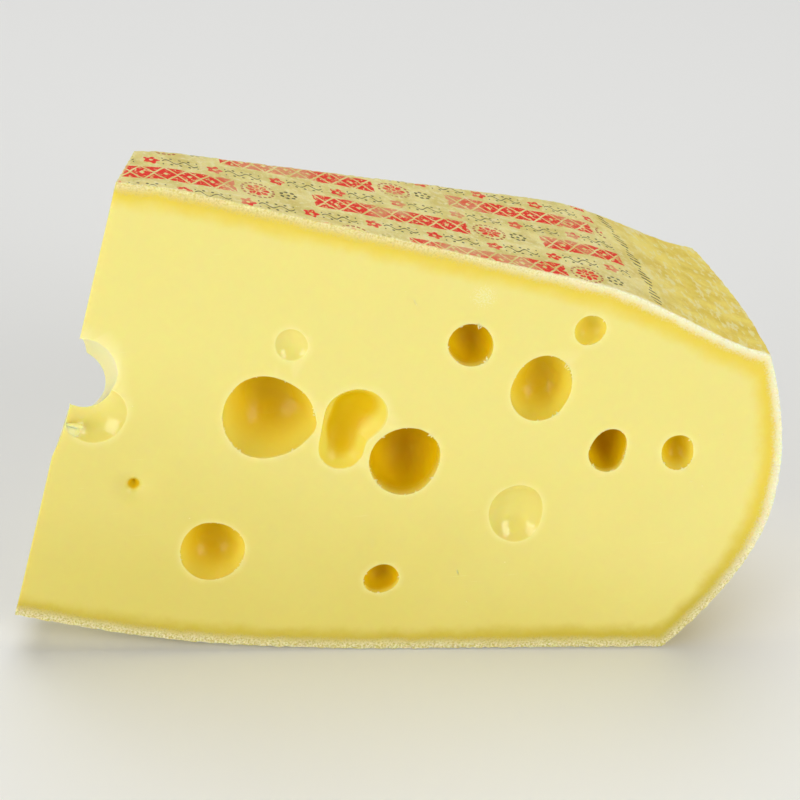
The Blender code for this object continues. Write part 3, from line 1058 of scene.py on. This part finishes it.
def blossom(tree, along, across):
    """A small five-petalled red blossom with a pale middle."""
    away, turn = around(tree, along, across, BLOSSOM_PLACE)
    flower = below(tree, away, petals(tree, turn, *BLOSSOM_PETALS))
    return without(tree, flower, below(tree, away, BLOSSOM_MIDDLE))


def vine(tree, along, across):
    """A thin dark wavy stem with berries on both sides."""
    start = add(tree, "Math", {0: along, 1: VINE_START}, operation="SUBTRACT")
    turn = add(tree, "Math", {0: start, 1: 2.0 * math.pi / VINE_WAVE}, operation="MULTIPLY")
    wave = add(tree, "Math", {0: turn}, operation="SINE")
    rise = add(tree, "Math", {0: wave, 1: VINE_RISE, 2: across}, operation="MULTIPLY_ADD")
    reach = within(tree, start, VINE_LENGTH / 2.0, VINE_LENGTH / 2.0)
    stem = within(tree, rise, 0.0, VINE_STEM)
    step = add(tree, "Math", {0: start, 1: VINE_WAVE / 4.0}, operation="PINGPONG")
    height = add(tree, "Math", {0: across}, operation="ABSOLUTE")
    height = add(tree, "Math", {0: height, 1: BERRY_LEVEL}, operation="SUBTRACT")
    pair = add(tree, "CombineXYZ", {0: step, 1: height})
    away = add(tree, "VectorMath", {0: pair}, operation="LENGTH")
    berries = below(tree, away, BERRY_RADIUS)
    drawn = add(tree, "Math", {0: stem, 1: berries}, operation="MAXIMUM")
    return add(tree, "Math", {0: reach, 1: drawn}, operation="MULTIPLY")


def edge_stitches(tree, radius, arc):
    """One line of dark slanted dashes and dots round the wheel, outside the rows."""
    off = add(tree, "Math", {0: radius, 1: STITCH_RADIUS}, operation="SUBTRACT")
    lean = add(tree, "Math", {0: off, 1: STITCH_LEAN, 2: arc}, operation="MULTIPLY_ADD")
    step = add(tree, "Math", {0: lean, 1: STITCH_STEP / 2.0}, operation="PINGPONG")
    long_step = add(tree, "Math", {0: lean, 1: STITCH_STEP * 2.5}, operation="PINGPONG")
    tall = add(tree, "MapRange", {0: long_step, 1: STITCH_REACH[0], 2: STITCH_REACH[1],
                                  3: STITCH_HEIGHTS[0], 4: STITCH_HEIGHTS[1]})
    height = add(tree, "Math", {0: off}, operation="ABSOLUTE")
    dash = below(tree, step, STITCH_WIDTH)
    reach = below(tree, height, tall)
    return add(tree, "Math", {0: dash, 1: reach}, operation="MULTIPLY")


def printed_rows(tree, place):
    """The rows of red bands, flowers and blossoms, and the dark stems and wreaths between them."""
    turned = add(tree, "Mapping", {"Vector": place, "Rotation": (0.0, 0.0, -ROW_TURN)})
    along, across, _height = add(tree, "SeparateXYZ", {0: turned}).node.outputs
    across = add(tree, "Math", {0: across, 1: ROW_START}, operation="SUBTRACT")
    row = add(tree, "Math", {0: across, 1: ROW_PITCH}, operation="DIVIDE")
    row = add(tree, "Math", {0: row}, operation="FLOOR")
    level = add(tree, "Math", {0: across, 1: ROW_PITCH}, operation="FLOORED_MODULO")
    shifted = add(tree, "Math", {0: row, 1: ROW_SHIFT, 2: along}, operation="MULTIPLY_ADD")
    cell = add(tree, "Math", {0: shifted, 1: CELL_LENGTH}, operation="FLOORED_MODULO")
    small = add(tree, "Math", {0: shifted, 1: SMALL_CELL_LENGTH}, operation="FLOORED_MODULO")
    bold = add(tree, "Math", {0: level, 1: BAND_LEVEL}, operation="SUBTRACT")
    thin = add(tree, "Math", {0: level, 1: VINE_LEVEL}, operation="SUBTRACT")
    ring, flower = rosette(tree, cell, bold)
    band = diamond_band(tree, cell, bold)
    red = add(tree, "Math", {0: band, 1: flower}, operation="MAXIMUM")
    small_flower = blossom(tree, small, thin)
    red = add(tree, "Math", {0: red, 1: small_flower}, operation="MAXIMUM")
    stem = vine(tree, small, thin)
    leaves = wreath(tree, cell, bold)
    dark = add(tree, "Math", {0: stem, 1: leaves}, operation="MAXIMUM")
    return red, ring, dark


def rind_skin(tree, place):
    """Dry washed rind, pressed in cloth: beige on top under worn food-ink print, golden at the rim."""
    radius, arc, height = polar_coordinates(tree, place)
    patches = pattern(tree, place, MOTTLE)
    dark_patch, pale_patch = map(linear, SKIN_TOP)
    top = add(tree, "Mix", {0: patches, 6: dark_patch, 7: pale_patch}, data_type="RGBA")
    pores = pattern(tree, place, PORES)
    top = add(tree, "Mix", {0: pores, 6: top, 7: linear(SKIN_PORES)}, data_type="RGBA")
    heel = add(tree, "MapRange", {0: radius, 1: HEEL_SKIN_START[0], 2: HEEL_SKIN_START[1]}, **EASED)
    dark_patch, pale_patch = map(linear, SKIN_HEEL)
    gold = add(tree, "Mix", {0: patches, 6: dark_patch, 7: pale_patch}, data_type="RGBA")
    ripple = add(tree, "CombineXYZ", {0: radius, 1: arc, 2: height})
    ripple = add(tree, "VectorMath", {0: ripple, 1: BLOOM_SCALE}, operation="MULTIPLY")
    bloom = pattern(tree, ripple, BLOOM, **EASED)
    gold = add(tree, "Mix", {0: bloom, 6: gold, 7: linear(SKIN_BLOOM)}, data_type="RGBA")
    colour = add(tree, "Mix", {0: heel, 6: top, 7: gold}, data_type="RGBA")
    red, ring, dark = printed_rows(tree, place)
    inside = below(tree, radius, ROWS_END)
    upper = add(tree, "MapRange", {0: height, 1: PRINT_START[0], 2: PRINT_START[1]})
    stitches = edge_stitches(tree, radius, arc)
    stitches = add(tree, "Math", {0: stitches, 1: upper}, operation="MULTIPLY")
    fade = pattern(tree, place, FADING, **EASED)
    worn = pattern(tree, place, WEAR, **EASED)
    hold = add(tree, "MapRange", {0: fade, 3: 0.70, 4: 1.0})
    worn = add(tree, "Math", {0: worn, 1: hold}, operation="MULTIPLY")
    field = add(tree, "Math", {0: inside, 1: upper}, operation="MULTIPLY")
    shown = add(tree, "Math", {0: field, 1: worn}, operation="MULTIPLY")
    faded, fresh = map(linear, INK_RED)
    fading_red = add(tree, "Mix", {0: fade, 6: faded, 7: fresh}, data_type="RGBA")
    for drawn, ink in ((red, fading_red), (ring, linear(INK_RING))):
        share = add(tree, "Math", {0: drawn, 1: shown}, operation="MULTIPLY")
        colour = add(tree, "Mix", {0: share, 6: colour, 7: ink}, data_type="RGBA")
    kept = add(tree, "MapRange", {0: worn, 3: 0.6, 4: 0.95})
    lines = add(tree, "Math", {0: field, 1: dark}, operation="MULTIPLY")
    dark = add(tree, "Math", {0: lines, 1: stitches}, operation="MAXIMUM")
    dark = add(tree, "Math", {0: dark, 1: kept}, operation="MULTIPLY")
    return add(tree, "Mix", {0: dark, 6: colour, 7: linear(INK_DARK)}, data_type="RGBA")


def knife_marks(tree, place):
    """A few faint streaks that a knife left across the cut."""
    drawn = add(tree, "Mapping", {"Vector": place, "Rotation": (0.0, STREAK_TURN, 0.0),
                                  "Scale": STREAK_SIZE}, vector_type="TEXTURE")
    return pattern(tree, drawn, STREAKS, **EASED)


def whitish_smear(tree, place):
    """A patch of fine white specks rubbed onto the cut."""
    off = add(tree, "VectorMath", {0: place, 1: SMEAR_MIDDLE}, operation="SUBTRACT")
    away = add(tree, "VectorMath", {0: off}, operation="LENGTH")
    near = add(tree, "MapRange", {0: away, 1: SMEAR_RADIUS, 2: 1.5, 4: 0.22}, **EASED)
    specks = add(tree, "TexNoise", {"Vector": place, "Scale": 1.3, "Detail": 4.0, "Roughness": 0.7})
    specks = add(tree, "Math", {0: specks, 1: near}, operation="ADD")
    specks = add(tree, "MapRange", {0: specks, 1: 0.66, 2: 0.84, 4: 0.42})
    reach = add(tree, "MapRange", {0: away, 1: SMEAR_RADIUS, 2: SMEAR_RADIUS - SMEAR_EDGE})
    return add(tree, "Math", {0: specks, 1: reach}, operation="MULTIPLY")


def cut_paste(tree, place, eye, gilt):
    """Knife-cut paste: waxy pale yellow, darker towards the low side in painted shade, paler round the
    mouths in a painted glow, and golden where it lines the eyes, partly its own colour and partly painted
    shade.
    """
    outward, _across, height = add(tree, "SeparateXYZ", {0: place}).node.outputs
    broad = add(tree, "TexNoise", {"Vector": place, "Scale": 0.014, "Detail": 3.0})
    # Painted shade: the paste darkens towards the low side and inwards, shifted by random patches
    rise = add(tree, "Math", {0: outward, 1: PASTE_LEAN, 2: height}, operation="MULTIPLY_ADD")
    rise = add(tree, "Math", {0: broad, 1: PASTE_SHIFT, 2: rise}, operation="MULTIPLY_ADD")
    rise = add(tree, "MapRange", {0: rise, 1: PASTE_SHADE_HEIGHTS[0], 2: PASTE_SHADE_HEIGHTS[1]}, **EASED)
    paste = add(tree, "Mix", {0: rise, 6: linear(PASTE_PAINTED_SHADE), 7: linear(PASTE_PALE)}, data_type="RGBA")
    marks = knife_marks(tree, place)
    paste = add(tree, "Mix", {0: marks, 6: paste, 7: linear(PASTE_WHITISH_AND_PAINTED_GLOW)}, data_type="RGBA")
    # Painted glow: the paste pales round every mouth and on the notch's wall
    rim = add(tree, "Attribute", attribute_name="rim_distance_mm").node.outputs["Fac"]
    painted_glow = add(tree, "MapRange", {0: rim, 1: PAINTED_GLOW_REACH[0], 2: PAINTED_GLOW_REACH[1],
                                  3: PAINTED_GLOW_STRENGTH, 4: 0.0}, **EASED)
    paste = add(tree, "Mix", {0: painted_glow, 6: paste, 7: linear(PASTE_WHITISH_AND_PAINTED_GLOW)}, data_type="RGBA")
    # The eyes' yellow and gold: partly the lining's own colour, partly painted shade, deeper further into
    # each eye
    paste = add(tree, "Mix", {0: gilt, 6: paste, 7: linear(EYE_YELLOW_AND_PAINTED_SHADE)}, data_type="RGBA")
    gold = add(tree, "MapRange", {0: eye, 1: GOLD_REACH[0], 2: GOLD_REACH[1]}, **EASED)
    return add(tree, "Mix", {0: gold, 6: paste, 7: linear(EYE_GOLD_AND_PAINTED_SHADE)}, data_type="RGBA")


def cut_rind(tree, place, rind, paste):
    """The cut edge of the rind: deep yellow under it, then a dry, grainy crust that pales outwards; both
    are darker low down in painted shade.
    """
    outward, _across, height = add(tree, "SeparateXYZ", {0: place}).node.outputs
    low = add(tree, "MapRange", {0: height, 1: LOW_SHADE_START[0], 2: LOW_SHADE_START[1]}, **EASED)
    heel = add(tree, "MapRange", {0: outward, 1: HEEL_START[0], 2: HEEL_START[1]}, **EASED)
    ragged = add(tree, "TexNoise", {"Vector": place, "Scale": 0.09, "Detail": 5.0, "Roughness": 0.6})
    wander = add(tree, "Math", {0: ragged, 1: WANDER, 2: -WANDER / 2.0}, operation="MULTIPLY_ADD")
    depth = add(tree, "Math", {0: rind, 1: wander}, operation="ADD")
    # Painted shade: the band under the rind is darker low down
    deep = add(tree, "Mix", {0: low, 6: linear(BAND_HIGH), 7: linear(BAND_LOW_PAINTED_SHADE)}, data_type="RGBA")
    depth = add(tree, "Math", {0: heel, 1: BAND_HEEL, 2: depth}, operation="MULTIPLY_ADD")
    inward = add(tree, "MapRange", {0: depth, 1: BAND_END[0], 2: BAND_END[1]}, **EASED)
    band = add(tree, "Mix", {0: inward, 6: deep, 7: paste}, data_type="RGBA")
    grain = pattern(tree, place, CRUST_GRAIN)
    upper, white, lower = (
        add(tree, "Mix", {0: grain, 6: linear(dark), 7: linear(pale)}, data_type="RGBA")
        for dark, pale in (CRUST_TOP, CRUST_HEEL, CRUST_LOW_PAINTED_SHADE))
    upper = add(tree, "Mix", {0: heel, 6: upper, 7: white}, data_type="RGBA")
    # Painted shade: the crust is darker low down
    crust = add(tree, "Mix", {0: low, 6: upper, 7: lower}, data_type="RGBA")
    grit = add(tree, "Math", {0: grain, 1: GRAIN_SPREAD, 2: rind}, operation="MULTIPLY_ADD")
    spread = add(tree, "Math", {0: wander, 1: WANDER_SPREAD, 2: grit}, operation="MULTIPLY_ADD")
    spread = add(tree, "Math", {0: low, 1: CRUST_LOWER, 2: spread}, operation="MULTIPLY_ADD")
    soft = add(tree, "MapRange", {0: spread, 1: CRUST_END[0], 2: CRUST_END[1]}, **EASED)
    return add(tree, "Mix", {0: soft, 6: crust, 7: band}, data_type="RGBA"), soft


def new_material(name):
    """A material with its node tree and its shader."""
    material = bpy.data.materials.new(name)
    material.use_nodes = True
    tree = material.node_tree
    return material, tree, tree.nodes["Principled BSDF"]


def grainy_relief(tree, shader, place, tall):
    """Grainy bumps, as tall as given."""
    grit = add(tree, "TexNoise", {"Vector": place, "Scale": 0.9, "Detail": 3.0, "Roughness": 0.6})
    height = add(tree, "Math", {0: grit, 1: tall}, operation="MULTIPLY")
    distance, strength = GRAIN_RELIEF
    relief = add(tree, "Bump", {"Height": height, "Distance": distance, "Strength": strength})
    tree.links.new(relief, shader.inputs["Normal"])


def waxy_body(shader, weight, scale, gloss):
    """Set how far light sinks into the cheese, furthest in its reds and yellows, and its gloss."""
    shader.inputs["Subsurface Weight"].default_value = weight
    shader.inputs["Subsurface Radius"].default_value = LIGHT_SINK
    shader.inputs["Subsurface Scale"].default_value = scale
    shader.inputs["IOR"].default_value = CHEESE_IOR
    shader.inputs["Specular IOR Level"].default_value = gloss


def cut_cheese():
    """Hard cheese, knife-cut: light sinks into the waxy paste and glows at every edge, with a glow also
    painted round the mouths, and painted shade low down and in the eyes.
    """
    material, tree, shader = new_material("hard_cheese_cut")
    place = wheel_coordinates(tree)
    rind, eye, gilt = (add(tree, "Attribute", attribute_name=name).node.outputs["Fac"]
                       for name in ("rind_depth_mm", "eye_depth", "eye_gold"))
    colour, soft = cut_rind(tree, place, rind, cut_paste(tree, place, eye, gilt))
    smear = whitish_smear(tree, place)
    colour = add(tree, "Mix", {0: smear, 6: colour, 7: linear(SMEAR_WHITE)}, data_type="RGBA")
    tree.links.new(colour, shader.inputs["Base Color"])
    wet = add(tree, "MapRange", {0: gilt, 1: 0.0, 2: 0.12, 3: CUT_ROUGHNESS, 4: LINING_ROUGHNESS},
              **EASED)
    dry = add(tree, "Mix", {0: soft, 2: CRUST_ROUGHNESS, 3: wet})
    tree.links.new(dry, shader.inputs["Roughness"])
    tall = add(tree, "MapRange", {0: soft, 3: 1.0, 4: 0.02})
    grainy_relief(tree, shader, place, tall)
    waxy_body(shader, 1.0, 0.0026, 0.45)
    return material


def eye_cheese():
    """The wall of a gas eye: the same paste never cut, smooth and damp, golden where it is deep, partly
    its own colour and partly painted shade.
    """
    material, tree, shader = new_material("hard_cheese_eye_wall")
    place = wheel_coordinates(tree)
    eye, gilt = (add(tree, "Attribute", attribute_name=name).node.outputs["Fac"]
                 for name in ("eye_depth", "eye_gold"))
    tree.links.new(cut_paste(tree, place, eye, gilt), shader.inputs["Base Color"])
    shallow, deep = EYE_ROUGHNESS
    damp = add(tree, "MapRange", {0: eye, 1: 0.60, 2: 1.0, 3: shallow, 4: deep})
    tree.links.new(damp, shader.inputs["Roughness"])
    dimples = add(tree, "TexNoise", {"Vector": place, "Scale": 0.35, "Detail": 2.0})
    relief = add(tree, "Bump", {"Height": dimples, "Distance": 0.0002, "Strength": 0.5})
    tree.links.new(relief, shader.inputs["Normal"])
    waxy_body(shader, 1.0, 0.0022, 0.16)
    return material


def rinded_cheese():
    """Washed, cloth-pressed rind of hard cheese: dry, dull and grainy, with print worn into it."""
    material, tree, shader = new_material("hard_cheese_rind")
    place = wheel_coordinates(tree)
    rind, skin, eye, gilt = (add(tree, "Attribute", attribute_name=name).node.outputs["Fac"]
                             for name in ("rind_depth_mm", "skin", "eye_depth", "eye_gold"))
    cut, soft = cut_rind(tree, place, rind, cut_paste(tree, place, eye, gilt))
    colour = add(tree, "Mix", {0: skin, 6: cut, 7: rind_skin(tree, place)}, data_type="RGBA")
    tree.links.new(colour, shader.inputs["Base Color"])
    dry = add(tree, "Mix", {0: soft, 2: CRUST_ROUGHNESS, 3: CUT_ROUGHNESS})
    rough = add(tree, "Mix", {0: skin, 2: dry, 3: SKIN_ROUGHNESS})
    tree.links.new(rough, shader.inputs["Roughness"])
    smooth = add(tree, "MapRange", {0: soft, 3: 1.0, 4: 0.02})
    tall = add(tree, "Mix", {0: skin, 2: smooth, 3: 0.8})
    grainy_relief(tree, shader, place, tall)
    waxy_body(shader, 0.6, 0.0026, 0.40)
    return material


def crumb_material():
    """Torn cheese: paler and duller than the fresh cut."""
    material, tree, shader = new_material("hard_cheese_torn")
    place = wheel_coordinates(tree)
    grain = add(tree, "TexNoise", {"Vector": place, "Scale": 0.8, "Detail": 2.0})
    colour = add(tree, "Mix", {0: grain, 6: linear(PASTE_TORN), 7: linear(PASTE_WHITISH_AND_PAINTED_GLOW)}, data_type="RGBA")
    tree.links.new(colour, shader.inputs["Base Color"])
    shader.inputs["Roughness"].default_value = 0.6
    waxy_body(shader, 1.0, 0.0015, 0.40)
    return material


def give_materials(piece, *materials):
    """Give a piece these materials and no others."""
    piece.data.materials.clear()
    for material in materials:
        piece.data.materials.append(material)


def soft_light(name, azimuth, elevation, distance, size, power):
    """A softbox aimed at the wedge."""
    turn, rise = math.radians(azimuth), math.radians(elevation)
    away = Vector((math.sin(turn) * math.cos(rise), -math.cos(turn) * math.cos(rise), math.sin(rise)))
    lamp = bpy.data.lights.new(name, "AREA")
    lamp.shape = "RECTANGLE"
    lamp.size, lamp.size_y = size
    lamp.energy = power
    piece = bpy.data.objects.new(name, lamp)
    bpy.context.scene.collection.objects.link(piece)
    piece.location = LAMP_AIM + away * distance
    piece.rotation_euler = away.to_track_quat("Z", "Y").to_euler()


def light_studio():
    """Two softboxes in front, a wide panel above and behind, and a dim pale room."""
    for lamp in LAMPS:
        soft_light(*lamp)
    world = bpy.data.worlds.new("room")
    world.use_nodes = True
    background = world.node_tree.nodes["Background"]
    background.inputs["Color"].default_value = linear("ffffff")
    background.inputs["Strength"].default_value = ROOM_LIGHT
    bpy.context.scene.world = world


def lay_floor():
    """A plain pale floor."""
    bpy.ops.object.select_all(action="DESELECT")
    bpy.ops.mesh.primitive_plane_add(size=FLOOR_SIZE, location=(0.0, 0.0, FLOOR_HEIGHT))
    floor = bpy.context.object
    floor.name = "floor"
    paper, _tree, shader = new_material("white_studio_paper")
    shader.inputs["Base Color"].default_value = linear(PAPER)
    shader.inputs["Roughness"].default_value = 0.8
    floor.data.materials.append(paper)


def place_camera():
    """The photograph's own view."""
    back = Vector((math.sin(CAMERA_AZIMUTH) * math.cos(CAMERA_ELEVATION),
                   -math.cos(CAMERA_AZIMUTH) * math.cos(CAMERA_ELEVATION), math.sin(CAMERA_ELEVATION)))
    level = Vector((math.cos(CAMERA_AZIMUTH), math.sin(CAMERA_AZIMUTH), 0.0))
    upright = back.cross(level)
    right = level * math.cos(CAMERA_ROLL) + upright * math.sin(CAMERA_ROLL)
    up = upright * math.cos(CAMERA_ROLL) - level * math.sin(CAMERA_ROLL)
    lens = bpy.data.cameras.new("camera")
    lens.sensor_width = CAMERA_SENSOR
    lens.lens = CAMERA_LENS
    camera = bpy.data.objects.new("camera", lens)
    bpy.context.scene.collection.objects.link(camera)
    turn = Matrix((right, up, back)).transposed().to_4x4()
    camera.matrix_world = Matrix.Translation(CAMERA_PLACE) @ turn
    bpy.context.scene.camera = camera


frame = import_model()
bpy.ops.object.select_all(action="DESELECT")
wedge = make_wedge()
give_materials(wedge, cut_cheese(), rinded_cheese(), eye_cheese())
share_faces(wedge.data)
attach(wedge, "root")
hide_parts("cheese_wedge")
crumbs = make_crumbs()
give_materials(crumbs, crumb_material())
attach(crumbs, "root")
lay_floor()
light_studio()
place_camera()
bpy.context.scene.view_settings.view_transform = "Standard"
